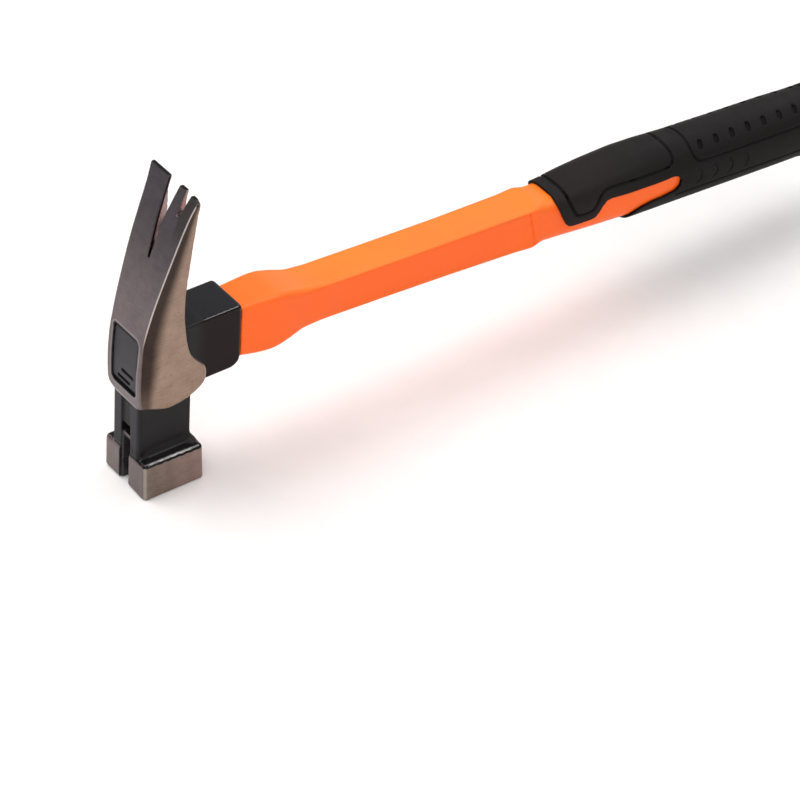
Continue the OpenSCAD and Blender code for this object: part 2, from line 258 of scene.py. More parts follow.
def build(name, field, low, high, step, node, normal_reach=0.12,
          place=lambda points: points, attributes=None):
    """Mesh a field between two corners; it takes over a CAD node."""
    points, quads = surface_net(field, low, high, step)
    _, normals = gradient(field, points, normal_reach)
    normals /= np.maximum(np.linalg.norm(normals, axis=1), 1e-9)[:, None]
    world_points = place(points) * 0.001
    world_normals = place(points + normals) * 0.001 - world_points
    world_normals /= np.linalg.norm(world_normals, axis=1)[:, None]

    mesh = bpy.data.meshes.new(name)
    mesh.vertices.add(len(points))
    mesh.vertices.foreach_set("co", world_points.astype(np.float32).ravel())
    mesh.loops.add(quads.size)
    mesh.loops.foreach_set("vertex_index", quads.astype(np.int32).ravel())
    mesh.polygons.add(len(quads))
    mesh.polygons.foreach_set("loop_start", (np.arange(len(quads)) * 4).astype(np.int32))
    mesh.update(calc_edges=True)
    mesh.validate()
    mesh.polygons.foreach_set("use_smooth", np.ones(len(mesh.polygons), bool))
    mesh.normals_split_custom_set_from_vertices(world_normals.astype(np.float32))
    for key, values in (attributes or {}).items():
        attribute = mesh.attributes.new(key, "FLOAT", "POINT")
        attribute.data.foreach_set("value", np.asarray(values(*points.T), np.float32).ravel())
    piece = bpy.data.objects.new(name, mesh)
    bpy.context.scene.collection.objects.link(piece)
    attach(piece, "root")
    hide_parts(node)


def from_eye(field):
    """Turn a field with z from the eye centre into one in the head frame."""
    return lambda x, y, z: field(x, y, z - EYE)


# ---------------------------------------------------------------- head outlines
# (x, z from the eye centre), seen along Y
front_line = np.concatenate([
    [[-12.4, -19.3], [-13.2, -18.7]],
    bezier([[-13.6, -17.6], [-14.6, -12], [-14.65, -1], [-13.3, 11.5]])[1:],
    bezier([[-13.3, 11.5], [-10.6, 25.5], [-4.1, 47], [6.6, TOP]])[1:]])
rear_line = bezier([[8.15, TOP], [6.7, 52], [3.35, 32], [5.4, 12]])
cheek_line = cut_corners([
    [5.4, 12], [6.0, 6.4], [7.6, 0.6], [10.0, -3.1], [13.6, -6.8], [15.3, -9.2], [15.6, -12.4],
    [15.0, -14.9], [13.0, -16.8], [7.8, -19.1], [3.4, -19.9], [-1.5, -20.4], [-5, -20.3],
    [-9, -19.9], [-12.4, -19.3]])
PROFILE = np.concatenate([front_line, rear_line, cheek_line[1:-1]])

# (z from the eye centre, half width in y)
claw_half, = smooth_columns([
    (-40, 10.2), (6, 10.2), (13, 10.6), (20, 10.95), (26, 11.25), (32, 11.65), (40, 12.3),
    (48, 12.85), (52.6, 13.1), (60, 13.5), (66, 14.0), (TOP - 1.6, 14.9), (TOP + 12, 17.0)],
    low=-60, high=90, width=5)

# (y, z from the eye centre): limit of the claw tips, seen along X
TIP_OUTLINE = [
    [-24, -80], [24, -80], [24, 60], [15.3, TOP - 0.5], [14.85, TOP + 0.1], [-6.4, TOP + 0.1],
    [-12.6, TOP - 0.7], [-14.3, TOP - 1.8], [-15.2, TOP - 4.0], [-24, 52]]


def slot_outline(stations):
    """Closed (y, z) outline from stations of (centre y, half width, z), bottom to top."""
    return ([(centre + half, z) for centre, half, z in stations]
            + [(centre - half, z) for centre, half, z in reversed(stations)])


MAIN_SLOT = slot_outline([(-0.4, 0.45, 42.9), (0.625, 1.325, 57.9), (0.1, 3.3, TOP + 1)])
SMALL_SLOT = slot_outline([(-7.4, 0.65, 62.9), (-8.05, 1.05, 67.2), (-8.95, 1.65, TOP + 1)])


# ---------------------------------------------------------------- head, z from the eye centre
def front_x(z):
    return np.interp(z, front_line[:, 1], front_line[:, 0])


def front_depth(x, y, z):
    """Distance behind the front edge, measured along x."""
    return x - front_x(z)


def side_distance(x, y, z):
    """Distance to the side faces: bulging cheeks, and a claw that widens to its tips."""
    claw = smoothstep(7, 25, z)
    bulge = np.where(x < -1, 205.0 + 500.0 * (1 - smoothstep(-4, 14, z)), 230.0)
    half = (1 - claw) * (11.4 - (x + 1) ** 2 / bulge) + claw * claw_half(z)
    lean = (0.3 * (1 - smoothstep(-12, 4, x)) * (1 - smoothstep(0, 40, z))
            - 0.05 * smoothstep(10, 50, z))
    return np.abs(y - lean) - half


def claw_slots(x, y, z, profile):
    """Both slots: chamfered at the front, bevelled wider behind the front edge."""
    depth = front_depth(x, y, z)
    chamfer = (np.maximum(0.0, 0.45 + profile) * 0.5 * (1 - smoothstep(2.5, 4.5, depth))
               * smoothstep(44.5, 50, z))
    bevel = np.clip(1.2 * (depth - 1.2), 0, 2.5) * smoothstep(44, 56, z)
    main = polygon_distance(y, z, MAIN_SLOT) - bevel * (0.2 + 0.8 * smoothstep(0, 1.5, y))
    small = polygon_distance(y, z, SMALL_SLOT) - 0.3 * bevel
    return np.minimum(main, small) - 0.02 - chamfer


def claw_and_cheeks(x, y, z):
    profile = polygon_distance(x, z, PROFILE)
    radius = 0.38 + 0.75 * (1 - smoothstep(2, 30, z)) * (1 - smoothstep(-9, -4, x))
    radius = radius + 1.1 * (1 - smoothstep(-10, -4, x)) * smoothstep(-13.5, -18, z)
    body = meet(profile, side_distance(x, y, z), radius)
    body = meet(body, polygon_distance(y, z, TIP_OUTLINE), 0.3)
    # the lower front corners are ground off
    corner = (-16.65 - 0.385 * (x + 14.2) - 0.66 * (10.5 - np.abs(y)) - z) / 1.26
    body = meet(body, corner, 0.9)
    return carve(body, claw_slots(x, y, z, profile), 0.22)


def neck_and_face_block(x, y, z):
    """Slightly tapered square block under the neck, joined by a filleted shoulder."""
    rise = np.clip((z + EYE) / 14.0, 0, 1)
    half = 13.55 - 0.25 * rise
    block_x, block_y = x + 0.15 * rise, y - 0.2 * rise
    inset = np.clip(half - np.maximum(np.abs(block_x), np.abs(block_y)), 0, 5)
    top = z + 43.4 + 0.035 * block_y - 0.2 * inset
    block = meet(rounded_box(block_x, block_y, half, half, 1.9), top, 1.6)
    block = carve(block, z + EYE, 0.6 + 0.9 * smoothstep(-11, -3, y))
    neck = rounded_box(x + 1.1, y - 0.7, 11.7, 8.6, np.where(x < 0, 1.7, 1.1))
    neck = carve(meet(neck, z + 10, 0.5), z + 44.5, 0.5)
    tight = 0.75 * (1 - smoothstep(-9.5, -6.5, y)) * (1 - smoothstep(6, 10, x))
    return join(neck, block, 0.7 + 3.5 * smoothstep(-13, -7, x) * (1 - tight))


def socket_block(x, y, z):
    half_x = 21.0
    top, bottom = 12.6, -15.35
    half_z = (top - bottom) / 2
    middle = (top + bottom) / 2
    from_middle = x - (SOCKET_END - half_x)
    socket = meet(
        rounded_box(from_middle, y, half_x, 9.6, 2.2),
        rounded_box(from_middle, z - middle, half_x, half_z, np.where(z > middle, 2.2, 5.9)),
        1.1)
    return carve(socket, x - 0.5, 0.3)


def dark_parts(x, y, z):
    """The painted parts of the head."""
    return join(neck_and_face_block(x, y, z), socket_block(x, y, z), 0.8)


def window_cut(x, y, z):
    """Window in the front of the eye; its corner at +Y and the top is tighter."""
    radius = np.where((y > 0) & (z > 0), 1.0, 2.2)
    return meet(rounded_box(y - 0.25, z + 0.6, 7.8, 12.6, radius), x + 9.4, 0.4)


def bore_cut(x, y, z):
    """Eye bore along the handle's axis."""
    along = x * COS_RAKE - (z - AXIS_RISE) * SIN_RAKE
    above = x * SIN_RAKE + (z - AXIS_RISE) * COS_RAKE
    bore = carve(rounded_box(y, above, 6.6, 10.3, 2.0), along + 12, 0.3)
    return meet(bore, along - 40, 0.3)


def groove_cut(x, y, z):
    """Groove down the front of the neck: upper part, deeper lower part and a pocket."""
    width = np.abs(y - GROOVE_Y) - 2.85
    upper = meet(meet(np.abs(y - 0.3) - 2.6, x + 8.7, 0.7), z + 38.1, 0.4)
    lower = meet(meet(width, x + 12.0, 0.75), z + 19.3, 0.3)
    pocket = meet(meet(width, x + 7.7, 0.7), np.abs(z + 33.8) - 2.3, 0.5)
    return np.minimum(np.minimum(upper, lower), pocket)


def head(x, y, z):
    solid = join(claw_and_cheeks(x, y, z), dark_parts(x, y, z), 0.3)
    solid = carve(solid, window_cut(x, y, z), 0.3)
    solid = np.maximum(solid, -bore_cut(x, y, z))
    solid = carve(solid, groove_cut(x, y, z), 0.35)
    from_magnet = np.sqrt((y - GROOVE_Y) ** 2 + (z - (MAGNET_Z - EYE)) ** 2)
    return np.maximum(solid, -np.maximum(from_magnet - 2.56, x + 5.7))


def paint_edge(x, y, z):
    """Positive where the head is black."""
    body = np.minimum(claw_and_cheeks(x, y, z), 8)
    paint = body - np.minimum(dark_parts(x, y, z), 8)
    # wavy lower border on the face block
    wave = (0.18 * np.sin(x * 1.9 + 0.7 * y) + 0.12 * np.sin(y * 2.7 - 1.3 * x)
            + 0.07 * np.sin(x * 5.1 + y * 4.3))
    paint = np.where(z < -40, z + 44.05 + 0.022 * x - 0.55 * wave, paint)
    paint = np.maximum(paint, 0.32 - groove_cut(x, y, z))
    # a black rim around the window; its extra width at its top and its upper -Y side is a
    # painted shadow line
    wider = np.maximum(smoothstep(9.5, 11.5, z),
                       (1 - smoothstep(-6.2, -5.0, y)) * smoothstep(-3, 5, z))
    paint = np.maximum(paint, 0.30 + 0.42 * wider - window_cut(x, y, z))
    # painted highlight: the lip under the pocket is left as bare steel
    lip = np.maximum(np.abs(z + 36.3) - 0.75, np.maximum(x + 8.0, np.abs(y - 0.3) - 2.5))
    return np.where(lip < 0.3, np.minimum(paint, lip), paint)


def shade_share(x, y, z):
    """Front depth as a share of the painted dark band's width at that height."""
    width = np.interp(z, [-20, -14, 0, 13, 25, 47, 60, 70],
                      [3.6, 5.0, 7.0, 7.4, 7.2, 5.4, 3.6, 1.8])
    return front_depth(x, y, z) / width


HEAD_ATTRIBUTES = {
    "paint": paint_edge,
    "band": front_depth,
    "shade": shade_share,
    "side": lambda x, y, z: -side_distance(x, y, z),
    "win": window_cut}

build("forged_head", from_eye(head), [-16, -16, -0.5], [33, 16, 131], step=0.5,
      node="hammer_head",
      attributes={key: from_eye(field) for key, field in HEAD_ATTRIBUTES.items()})


# ---------------------------------------------------------------- plug and magnet
def plug(x, y, z):
    """Plug in the window, z from the eye centre: a lower step and two slots in its face."""
    face = front_x(z) + 0.62
    radius = np.where((y > 0) & (z > 0), 0.95, 2.1)
    solid = rounded_box(y - 0.52, z + 0.87, 7.48, 12.28, radius)
    solid = meet(meet(solid, face - x, 0.25), x + 9.45, 0.2)
    solid = carve(solid, meet(x - (face + 0.55), z + 11.5, 0.25), 0.2)
    for slot_y, slot_z in ((-1.5, -5.9), (0.9, -9.6)):
        slot = rounded_box(y - slot_y, z - slot_z, 3.95, 0.8, 0.6)
        solid = carve(solid, meet(slot, x - (face + 1.1), 0.2), 0.15)
    return solid


def magnet(x, y, z):
    """Disc in the head frame, with a shallow round recess in its front."""
    from_axis = np.sqrt((y - GROOVE_Y) ** 2 + (z - MAGNET_Z) ** 2)
    disc = meet(carve(from_axis - 2.5, x + 8.7, 0.3), x + 5.75, 0.15)
    return carve(disc, meet(from_axis - 1.9, x + 8.55, 0.1), 0.1)


build("window_plug", from_eye(plug), [-14.1, -7.7, 45], [-9.3, 8.1, 71], step=0.26,
      node="eye_plug", normal_reach=0.06)
build("groove_magnet", magnet, [-8.9, GROOVE_Y - 2.6, MAGNET_Z - 2.6],
      [-5.6, GROOVE_Y + 2.6, MAGNET_Z + 2.6], step=0.14,
      node="nail_magnet", normal_reach=0.05)


# ---------------------------------------------------------------- handle sheath, handle frame
def handle_to_head(points):
    x, y, z = points.T
    return np.stack([x * COS_RAKE + z * SIN_RAKE, y,
                     EYE + AXIS_RISE - x * SIN_RAKE + z * COS_RAKE], 1)


# (x, centre z, half width in y, half height in z, corner radius)
SHEATH_CURVES = smooth_columns([
    (20, -0.1, 8.3, 11.2, 2.2), (33, -0.2, 8.5, 11.6, 2.2), (39, -0.5, 8.9, 12.3, 2.2),
    (45, -0.6, 9.4, 12.6, 2.3), (49, -0.6, 9.5, 12.5, 2.5), (55, -0.5, 9.2, 11.2, 2.8),
    (61.5, -0.4, 8.4, 9.3, 2.6), (70.5, -0.4, 8.1, 8.4, 1.8), (100, -0.4, 8.05, 8.3, 1.4),
    (132, -0.4, 8.15, 8.5, 1.4), (164, -0.25, 8.5, 9.1, 1.6), (179, -0.05, 9.35, 10.2, 2.4),
    (189, 0.2, 10.1, 11.2, 3.4), (201, 0.5, 10.9, 12.3, 4.5), (217, 0.8, 11.7, 13.6, 5.5),
    (233, 0.9, 11.8, 13.6, 6), (245, 0.7, 11.3, 13, 6), (257, 0.5, 9.4, 10.8, 5),
    (314, 0.4, 9.2, 10.4, 5), (322, 0.3, 8.9, 10.0, 5)],
    low=0, high=345, width=7.0)

# (x, centre z, half width in y, half height in z, superellipse exponent)
GRIP_CURVES = smooth_columns([
    (165, -0.1, 9.95, 10.6, 3.8), (173, -0.1, 10.1, 10.6, 3.8), (183, 0.1, 10.6, 11.35, 3.4),
    (193, 0.65, 11.3, 12.7, 3), (205, 1, 12, 13.9, 2.7), (219, 1.3, 12.6, 14.8, 2.5),
    (231, 1.25, 12.75, 14.9, 2.4), (245, 0.9, 12.6, 14.55, 2.4), (271, 0.7, 12.6, 14.3, 2.4),
    (297, 0.6, 12.5, 14.2, 2.4), (310, 0.4, 12.2, 14.0, 2.4), (318, -0.3, 12.2, 14.8, 2.4),
    (325, -1.5, 12.3, 16.2, 2.5), (331, -2.2, 12.3, 16.9, 2.6), (345, -2.2, 12.2, 16.9, 2.6)],
    low=150, high=350, width=6.0)


def grip_outer(x, y, z):
    """First-order distance to the grip's plain outer surface."""
    centre, half_y, half_z, power = [curve(x) for curve in GRIP_CURVES]
    total = (np.abs(y) / half_y) ** power + (np.abs(z - centre) / half_z) ** power
    size = total ** (1 / power)
    return (size - 1) * np.sqrt(y * y + (z - centre) ** 2 + 1e-9) / np.maximum(size, 1e-6)


def sheath_outer(x, y, z):
    centre, half_y, half_z, radius = [curve(x) for curve in SHEATH_CURVES]
    radius = np.minimum(radius, np.minimum(half_y, half_z) - 0.3)
    solid = rounded_box(y, z - centre, half_y, half_z, radius)
    # flat side panels, let in along the bar and ending in a slant
    depth = -0.5 + 1.15 * smoothstep(60, 84, x)
    slanted_end = 169.9 - 0.27 * z
    panel = meet(half_y - depth - np.abs(y), np.abs(z - centre + 0.1) - (half_z - 1.5), 0.35)
    solid = carve(solid, meet(panel, x - slanted_end, 0.15), 0.2)
    # under the grip it follows the grip's own surface
    under_grip = grip_outer(x, y, z) + SKIN - 5.0 * (1 - smoothstep(160, 178, x))
    return meet(solid, under_grip, 0.6)


def sheath(x, y, z):
    """Sheath between the socket block and its rear end, hollow for the core."""
    head_x = x * COS_RAKE + z * SIN_RAKE
    solid = carve(sheath_outer(x, y, z), head_x - (SOCKET_END + 0.06), 0.25)
    solid = meet(solid, x - SHEATH_END, 1.0)
    return np.maximum(solid, -rounded_box(y, z, 5.55, 6.55, 3.0))


build("sheath", sheath, [29, -12, -15], [321, 12, 15], step=[0.95, 0.5, 0.5],
      node="handle_sheath", normal_reach=0.15, place=handle_to_head)

# ---------------------------------------------------------------- grip, handle frame
# (x, z): region without rubber, ahead of the grip's front edge, seen along Y
GRIP_OPENING = [
    (150, 30), (179.9, 30), (179.9, 8.7), (181.2, 5.8), (183.6, 1.2), (185.4, -1.9),
    (186.6, -3.1), (188.2, -3.5), (192.5, -3.5), (197, -3.3), (199.6, -2.6), (201.2, -0.8),
    (202.6, 1.6), (204.3, 3.7), (206.4, 4.3), (212, 4.1), (224, 4.1), (234, 4.4), (238.6, 4.4),
    (240.8, 3.7), (242.1, 1.8), (241.9, -0.6), (240, -2.4), (234.5, -3.5), (228.5, -4.1),
    (224.0, -5.2), (221.0, -6.8), (219.6, -8.5), (218.8, -10.6), (218.6, -30), (150, -30)]

# (x, y, z) of the carved lines on the +Y side; they are mirrored to -Y
FRONT_PANEL = [
    (185.2, 0, 12.4), (185.2, 4.1, 12.2), (185.4, 8.7, 10.2), (186.9, 10.6, 6.1),
    (189.2, 11, 1.9), (190.7, 11.1, 0.7), (195, 11.4, 0.6), (197.9, 11.6, 1.4),
    (199.4, 11.6, 3.8), (200.6, 11.3, 6.6), (202.8, 10.9, 8.6), (206, 10.9, 9.1),
    (220.2, 11.4, 9.2), (230.5, 11.5, 9.0), (234.8, 11.3, 9.2), (237.2, 10.9, 10.0),
    (238.2, 9.5, 11.8), (237.9, 6.6, 14.1), (237.3, 2.6, 15.4), (237.2, 0, 15.7)]
REAR_PANEL = [
    (248.2, 0, 15.3), (247.9, 6.4, 13.9), (248.0, 8.8, 12.2), (248.5, 10.5, 10.1),
    (249.9, 11.4, 8.2), (253.0, 11.8, 7.2), (258, 11.9, 7.0), (283, 11.8, 7.0),
    (304, 11.4, 7.0), (311, 11.3, 7.1), (314.6, 11.1, 8.0), (316.4, 10.2, 10.2),
    (317.0, 8, 12.6), (317.2, 4, 14), (317.2, 0, 14.2)]
LOWER_LINE = [(240.5, 12.2, -4.9), (262, 12.2, -4.7), (285, 12, -4.7), (306, 11.8, -5.0),
              (318, 11.6, -5.6)]
CHEVRON = [(250.3, 12.4, 4.7), (251.9, 12.6, 3.2), (252.8, 12.6, 1.4), (252.6, 12.6, -0.4),
           (251.0, 12.5, -1.9)]
CHEVRON_COUNT, CHEVRON_PITCH = 4, 8.2
DIMPLE_COUNT, DIMPLE_PITCH = 8, 8.55


def snap(points, offset=0.0):
    """Move points to a given distance from the grip's outer surface."""
    points = np.array(points, float)
    for _ in range(8):
        distance, slope = gradient(grip_outer, points, 0.02)
        slope /= np.linalg.norm(slope, axis=1)[:, None]
        points -= (distance - offset)[:, None] * slope
    return points


def surface_path(points, rounds=2):
    """Smooth a line, divide it evenly and lay it on the grip."""
    points = cut_corners(points, rounds)
    lengths = np.linalg.norm(np.diff(points, axis=0), axis=1)
    travelled = np.concatenate([[0], np.cumsum(lengths)])
    stops = np.linspace(0, travelled[-1], int(travelled[-1] / 1.3))
    return snap(np.stack([np.interp(stops, travelled, points[:, i]) for i in range(3)], 1))


def chevron_lines():
    lines = []
    for k in range(CHEVRON_COUNT):
        path = surface_path(np.add(CHEVRON, (CHEVRON_PITCH * k, 0, 0)), rounds=1)
        path = snap(path, 0.22)
        lines.append((path, path[:, 0].min() - 2.5, path[:, 0].max() + 2.5, 0.55))
    return lines


def dimple_lines():
    """A row of short slanted dents along the upper side."""
    lean = np.array([0.2, -0.75, 0.62])
    lines = []
    for k in range(DIMPLE_COUNT):
        dimple_x = 253.5 + DIMPLE_PITCH * k
        centre = snap([[dimple_x, 8.15 - 0.24 * k, 12.9]])[0]
        middle = np.array([dimple_x, centre[1], centre[2]])
        path = snap([middle + lean, middle - lean])
        lines.append((path, centre[0] - 2.5, centre[0] + 2.5, 1.1))
    return lines


# (lines as (path, lowest x, highest x, radius), rim radius), carved in this order
CARVINGS = [
    ([(surface_path(FRONT_PANEL), 183, 241, 0.68), (surface_path(REAR_PANEL), 244, 320, 0.57)],
     0.28),
    ([(surface_path(LOWER_LINE), 238, 321, 0.5)], 0.25),
    (chevron_lines(), 0.3),
    (dimple_lines(), 0.2)]


def line_distance(x, y, z, surface, line):
    """Distance to a carved line, worked out only where it can matter."""
    path, low_x, high_x, radius = line
    x, y, z = np.broadcast_arrays(x, y, z)
    distance = np.full(x.shape, 9.0)
    near = (np.abs(surface) < 2.2) & (x > low_x) & (x < high_x)
    if near.any():
        distance[near] = path_distance(x[near], y[near], z[near], path)
    return distance - radius


def grip(x, y, z):
    surface = meet(grip_outer(x, y, z), x - HANDLE_LENGTH, 3.4)
    solid = surface
    for lines, rim in CARVINGS:
        cuts = [line_distance(x, np.abs(y), z, surface, line) for line in lines]
        solid = carve(solid, np.minimum.reduce(cuts), rim)
    inner = np.maximum(sheath_outer(x, y, z) - 0.06, x - (SHEATH_END + 0.1))
    solid = carve(solid, inner, 0.12)
    solid = carve(solid, polygon_distance(x, z, GRIP_OPENING) - 0.15, 0.3)
    # round hole through the butt
    hole = np.sqrt((x - (HANDLE_LENGTH - 9.5)) ** 2 + (z + 1.2) ** 2) - 3.5
    return carve(solid, hole, 1.0)


build("grip", grip, [179, -13, -20], [337, 13, 17], step=0.56,
      node="rubber_grip", normal_reach=0.1, place=handle_to_head,
      attributes={"deep": lambda x, y, z: -grip_outer(x, y, z)})


# ---------------------------------------------------------------- shader tools
class Signal:
    """A shader output; arithmetic on it adds Math nodes."""
    def __init__(self, shader, socket):
        self.shader = shader
        self.socket = socket

    def math(self, operation, *values):
        return self.shader.node("Math", dict(enumerate(values)), operation=operation)

    def __add__(self, other):
        return self.math("ADD", self, other)

    def __mul__(self, other):
        return self.math("MULTIPLY", self, other)

    def __rsub__(self, other):
        return self.math("SUBTRACT", other, self)

    def __sub__(self, other):
        return self.math("SUBTRACT", self, other)

    def __abs__(self):
        return self.math("ABSOLUTE", self)

    def max(self, other):
        return self.math("MAXIMUM", self, other)

    def ramp(self, start, end, before=0.0, after=1.0, smooth=True):
        """Goes from `before` to `after` while the signal goes from start to end."""
        return self.shader.node(
            "MapRange", {0: self, 1: start, 2: end, 3: before, 4: after},
            interpolation_type="SMOOTHSTEP" if smooth else "LINEAR")

    def mix(self, a, b):
        """Colour a where the signal is 0, b where it is 1."""
        return self.shader.node("Mix", {0: self, 6: a, 7: b}, output=2, data_type="RGBA")

    def mix_value(self, a, b):
        return self.shader.node("Mix", {0: self, 2: a, 3: b}, data_type="FLOAT")


class Shader:
    """A new material with a Principled surface."""
    def __init__(self, name):
        self.material = bpy.data.materials.new(name)
        self.material.use_nodes = True
        self.tree = self.material.node_tree
        self.tree.nodes.clear()
        output = self.tree.nodes.new("ShaderNodeOutputMaterial")
        self.surface = self.tree.nodes.new("ShaderNodeBsdfPrincipled")
        self.tree.links.new(self.surface.outputs[0], output.inputs[0])

    def feed(self, socket, value):
        if isinstance(value, Signal):
            self.tree.links.new(value.socket, socket)
        else:
            socket.default_value = value

    def set(self, name, value):
        """Feed an input of the surface."""
        self.feed(self.surface.inputs[name], value)

    def node(self, kind, inputs, output=0, **settings):
        node = self.tree.nodes.new("ShaderNode" + kind)
        for key, value in settings.items():
            setattr(node, key, value)
        for key, value in inputs.items():
            self.feed(node.inputs[key], value)
        return Signal(self, node.outputs[output])

    def attribute(self, name):
        return self.node("Attribute", {}, output="Fac", attribute_name=name)

    def xyz(self, kind, output):
        split = self.node("SeparateXYZ", {0: self.node(kind, {}, output)}).socket.node
        x, y, z = [Signal(self, socket) for socket in split.outputs]
        return SimpleNamespace(x=x, y=y, z=z)

    def normal(self):
        return self.xyz("NewGeometry", "Normal")

    def place(self):
        """Object coordinates, in metres."""
        return self.xyz("TexCoord", "Object")

    def noise(self, scale, detail, roughness, stretch=(1, 1, 1), shift=(0, 0, 0)):
        vector = self.node("Mapping", {
            "Vector": self.node("TexCoord", {}, "Object"), "Scale": stretch, "Location": shift})
        return self.node("TexNoise", {
            "Vector": vector, "Scale": scale, "Detail": detail, "Roughness": roughness})

    def bump(self, height, distance, strength, **normal):
        return self.node("Bump", {
            "Distance": distance, "Strength": strength, "Height": height, **normal})


def rgb(code, gain=1.0):
    """Linear colour from an sRGB hex string."""
    linear = []
    for i in (1, 3, 5):
        value = int(code[i:i + 2], 16) / 255
        value = value / 12.92 if value <= 0.04045 else ((value + 0.055) / 1.055) ** 2.4
        linear.append(value * gain)
    return (*linear, 1.0)


# ---------------------------------------------------------------- head material
def head_signals(shader):
    """What the steel and the paint both draw on."""
    normal = shader.normal()
    place = shader.place()
    # belt-ground lines run across the faces; on the striking face they run along Y
    broad = shader.noise(scale=1.0, detail=4.0, roughness=0.65, stretch=(60, 60, 5200))
    narrow = shader.noise(scale=1.0, detail=3.0, roughness=0.6, stretch=(160, 160, 2100),
                          shift=(3, 1, 2))
    below = shader.noise(scale=1.0, detail=4.0, roughness=0.65, stretch=(5200, 90, 60))
    under = normal.z.ramp(start=-0.75, end=-0.9)
    return SimpleNamespace(
        normal=normal, place=place, under=under,
        lines=under.mix_value(broad * 0.5 + narrow * 0.5, below),
        paint=shader.attribute("paint"), window=shader.attribute("win"),
        mottle=shader.noise(scale=210.0, detail=4.0, roughness=0.6),
        cloud=shader.noise(scale=55.0, detail=3.0, roughness=0.6, shift=(0.3, 0.2, 0.1)),
        pits=shader.noise(scale=1300.0, detail=2.0, roughness=0.5, shift=(0.7, 0.1, 0.4)),
        block=place.z.ramp(start=0.021, end=0.017))


def ground_steel(shader, head):
    """Ground steel without its marks, with painted light: a cool, darker front and reddish,
    lighter cheeks, shade and highlights painted on the slot walls, and a painted dark reflection
    band.
    """
    place, cloud = head.place, head.cloud
    band = shader.attribute("band")
    inner = shader.attribute("side").ramp(start=1.2, end=2.2)
    is_side = abs(head.normal.y).ramp(start=0.55, end=0.9)

    # painted light: the front is darker and the cheeks lighter, as shaded and lit faces of one
    # steel
    front = place.z.ramp(start=0.078, end=0.118).mix(
        rgb("#8d8082", gain=0.56), rgb("#736c71", gain=0.45))
    front = head.block.mix(front, rgb("#8f8280", gain=0.60))
    cheek = cloud.mix(rgb("#a48c7b", gain=0.92), rgb("#937f71", gain=0.86))
    # painted light on the face block's side, darker towards -X
    block_side = place.x.ramp(start=-0.012, end=0.012).mix(
        rgb("#8f7f74", gain=0.70), rgb("#8f7b73", gain=0.98))
    cheek = head.block.mix(cheek, block_side)
    # walls inside the slots: painted shade near the front edge, a painted pinkish highlight
    # further in
    near = place.y.ramp(start=-0.0050, end=-0.0062) * band.ramp(start=0.1, end=0.5)
    wall = near.max(band.ramp(start=0.6, end=1.5)).mix(
        rgb("#241d1e"), rgb("#a8908f", gain=0.85))
    cheek = (inner * place.z.ramp(start=0.09, end=0.1)).mix(cheek, wall)
    # painted shade on the front of the prong on the -Y side of the small slot
    prong = place.y.ramp(start=-0.0078, end=-0.0092) * place.z.ramp(start=0.110, end=0.120)
    front = (prong * 0.85).mix(front, rgb("#5f5a58", gain=0.42))
    steel = is_side.mix(front, cheek)
    steel = (head.under * 0.8).mix(steel, rgb("#9a8e88", gain=0.8))
    # painted dark reflection band behind the front edge of the cheeks
    edge_share = shader.attribute("shade") + cloud * 0.16
    shaded = edge_share.ramp(start=0.60, end=1.48, before=1.0, after=0.0) * is_side
    shaded = shaded * (1.0 - inner) * place.z.ramp(start=0.0345, end=0.037)
    shaded = shaded * place.z.ramp(start=0.038, end=0.056, before=0.66, after=0.96)
    return shaded.mix(steel, head.lines.mix(rgb("#2b221f"), rgb("#352b28"))), band


def steel_color(shader, head):
    normal, place, window = head.normal, head.place, head.window
    steel, band = ground_steel(shader, head)
    tone = (head.lines * 0.55 + head.mottle * 0.45).ramp(start=0.3, end=0.7, smooth=False)
    gain = tone.mix_value(0.74, 1.30)
    steel = shader.node("VectorMath", {0: steel, "Scale": gain}, operation="SCALE")
    steel = (head.pits.ramp(start=0.63, end=0.72) * 0.35).mix(steel, rgb("#3c3532"))
    # painted highlight on the window's rim
    rim = (window.ramp(start=0.6, end=1.7, before=0.16, after=0.0)
           * normal.x.ramp(start=-0.6, end=-0.9))
    steel = rim.mix(steel, rgb("#b9b0ae"))
    # dark sheared ends of the prongs
    ends = normal.z.ramp(start=0.70, end=0.9) * place.z.ramp(start=0.1285, end=0.1292)
    steel = (ends * 0.9).mix(steel, rgb("#1d1a1b"))
    # painted highlights: bright lines on the crease, the edge of the ground area and the block's
    # upright edges
    crease = (band.ramp(start=0.30, end=0.62, before=1.0, after=0.0)
              * shader.attribute("side").ramp(start=0.24, end=0.5, before=1.0, after=0.0))
    crease = crease * place.z.ramp(start=0.066, end=0.078)
    edge = (abs(head.paint + 0.35).ramp(start=0.15, end=0.5, before=1.0, after=0.0)
            * place.z.ramp(start=0.03, end=0.034))
    edge = edge * window.ramp(start=0.9, end=1.5)
    upright = (abs(normal.x).ramp(start=0.28, end=0.6)
               * abs(normal.y).ramp(start=0.28, end=0.6) * head.block)
    painted_highlights = (crease * 0.8).max(upright * 0.28).max(edge * 0.4)
    return (painted_highlights * 0.85).mix(steel, rgb("#d8cfc9"))


